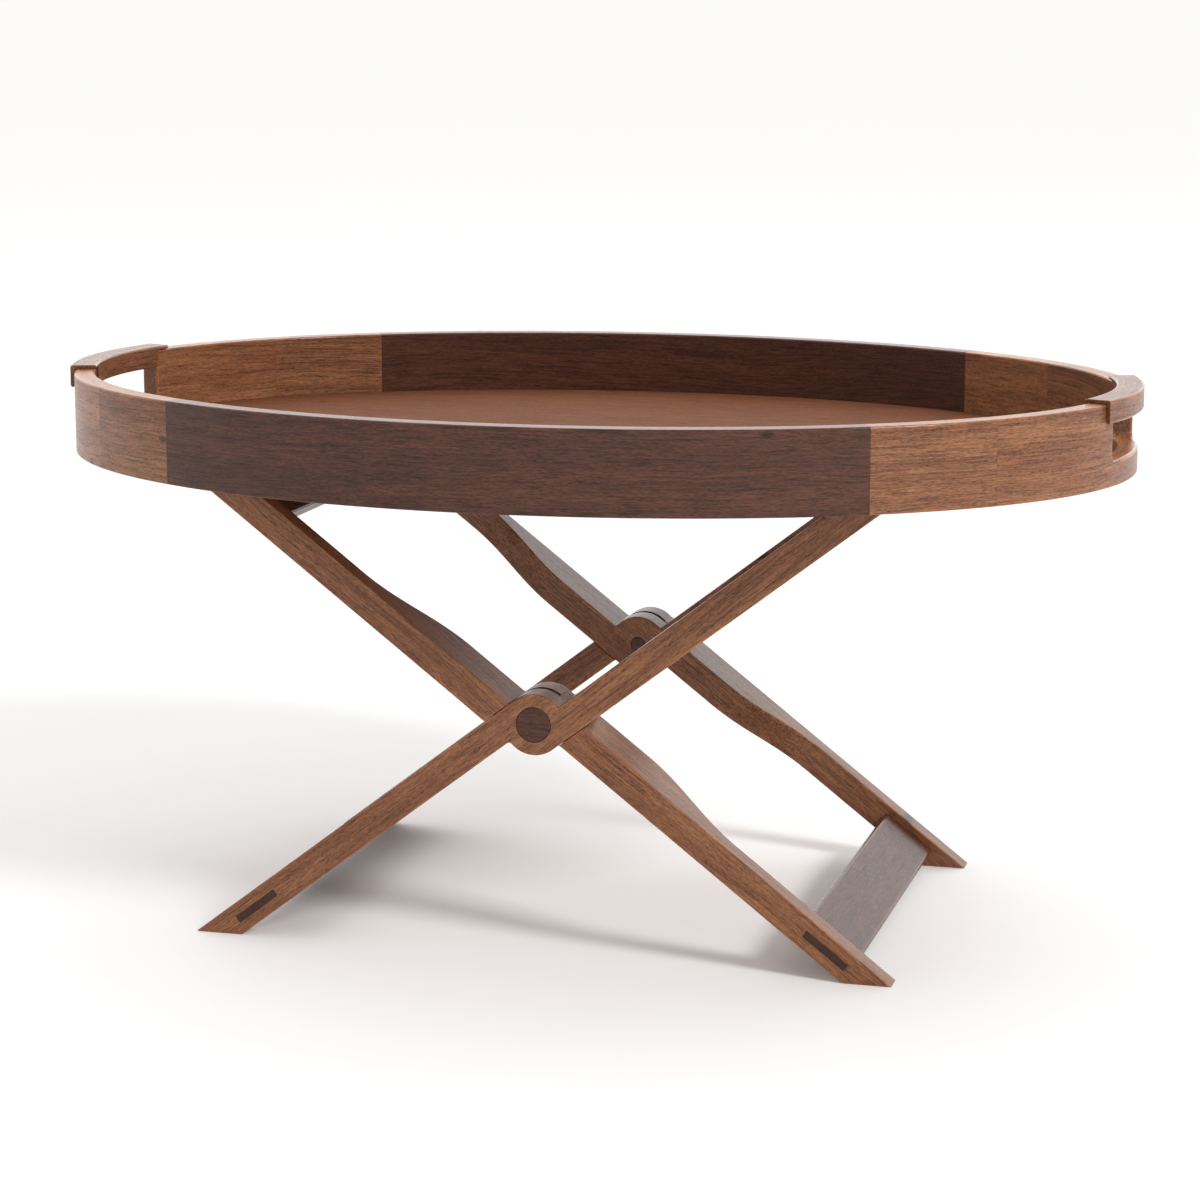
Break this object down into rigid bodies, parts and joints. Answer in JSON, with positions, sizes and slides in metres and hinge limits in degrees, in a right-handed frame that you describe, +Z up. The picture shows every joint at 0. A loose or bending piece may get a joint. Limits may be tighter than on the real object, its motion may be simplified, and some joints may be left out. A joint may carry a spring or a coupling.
{
  "type": "folding tray table",
  "caption": "Oval walnut tray with a finger slot and grip at each end, resting on a scissor-folding leg frame with wide stretchers.",
  "frame": {"origin": "on the floor, at the centre of the footprint", "axes": "+X along the tray from handle to handle, +Y towards the back, +Z up"},
  "size_m": [0.9074, 0.6518, 0.4555],
  "materials": {
    "light_walnut": "oiled walnut, satin",
    "dark_walnut": "dark walnut, satin",
    "floor_veneer": "walnut veneer, satin lacquer",
    "beech": "plain beech, unfinished",
    "screw_steel": "zinc-plated steel"
  },
  "bodies": {
    "pivot": {"pivot_pin_front": "dark_walnut", "pivot_pin_rear": "dark_walnut"},
    "outer_frame": {"leg_outer_front": "light_walnut", "leg_outer_rear": "light_walnut", "stretcher_outer_lower": "dark_walnut", "stretcher_outer_upper": "dark_walnut"},
    "inner_frame": {"leg_inner_front": "light_walnut", "leg_inner_rear": "light_walnut", "stretcher_inner_lower": "dark_walnut", "stretcher_inner_upper": "dark_walnut"},
    "tray": {"cleat_left": "dark_walnut", "cleat_right": "dark_walnut", "cleat_screw_left_front": "screw_steel", "cleat_screw_left_middle": "screw_steel", "cleat_screw_left_rear": "screw_steel", "cleat_screw_right_front": "screw_steel", "cleat_screw_right_middle": "screw_steel", "cleat_screw_right_rear": "screw_steel", "grip_dowel_left_front": "beech", "grip_dowel_left_rear": "beech", "grip_dowel_right_front": "beech", "grip_dowel_right_rear": "beech", "handle_left": "light_walnut", "handle_right": "light_walnut", "rim_back_dark": "dark_walnut", "rim_back_left": "light_walnut", "rim_back_right": "light_walnut", "rim_end_left": "light_walnut", "rim_end_right": "light_walnut", "rim_front_dark": "dark_walnut", "rim_front_left": "light_walnut", "rim_front_right": "light_walnut", "rim_spline_left_dark_back": "beech", "rim_spline_left_dark_front": "beech", "rim_spline_left_end_back": "beech", "rim_spline_left_end_front": "beech", "rim_spline_right_dark_back": "beech", "rim_spline_right_dark_front": "beech", "rim_spline_right_end_back": "beech", "rim_spline_right_end_front": "beech", "tray_floor": "floor_veneer"}
  },
  "joints": [
    {"name": "outer_frame_fold", "type": "hinge", "parent": "pivot", "child": "outer_frame", "pos_m": [0, 0, 0.1935], "axis": [0, -1, 0], "range_deg": [0, 51.6]},
    {"name": "inner_frame_fold", "type": "hinge", "parent": "pivot", "child": "inner_frame", "pos_m": [0, 0, 0.1935], "axis": [0, 1, 0], "range_deg": [0, 51.6]},
    {"name": "tray_lift", "type": "slide", "parent": "pivot", "child": "tray", "axis": [0, 0, 1], "range_m": [0, 0.38]}
  ],
  "couplings": [
    {"joint": "inner_frame_fold", "follows": "outer_frame_fold", "ratio": 1},
    {"joint": "tray_lift", "follows": "outer_frame_fold", "m_per_rad": 0.41}
  ]
}
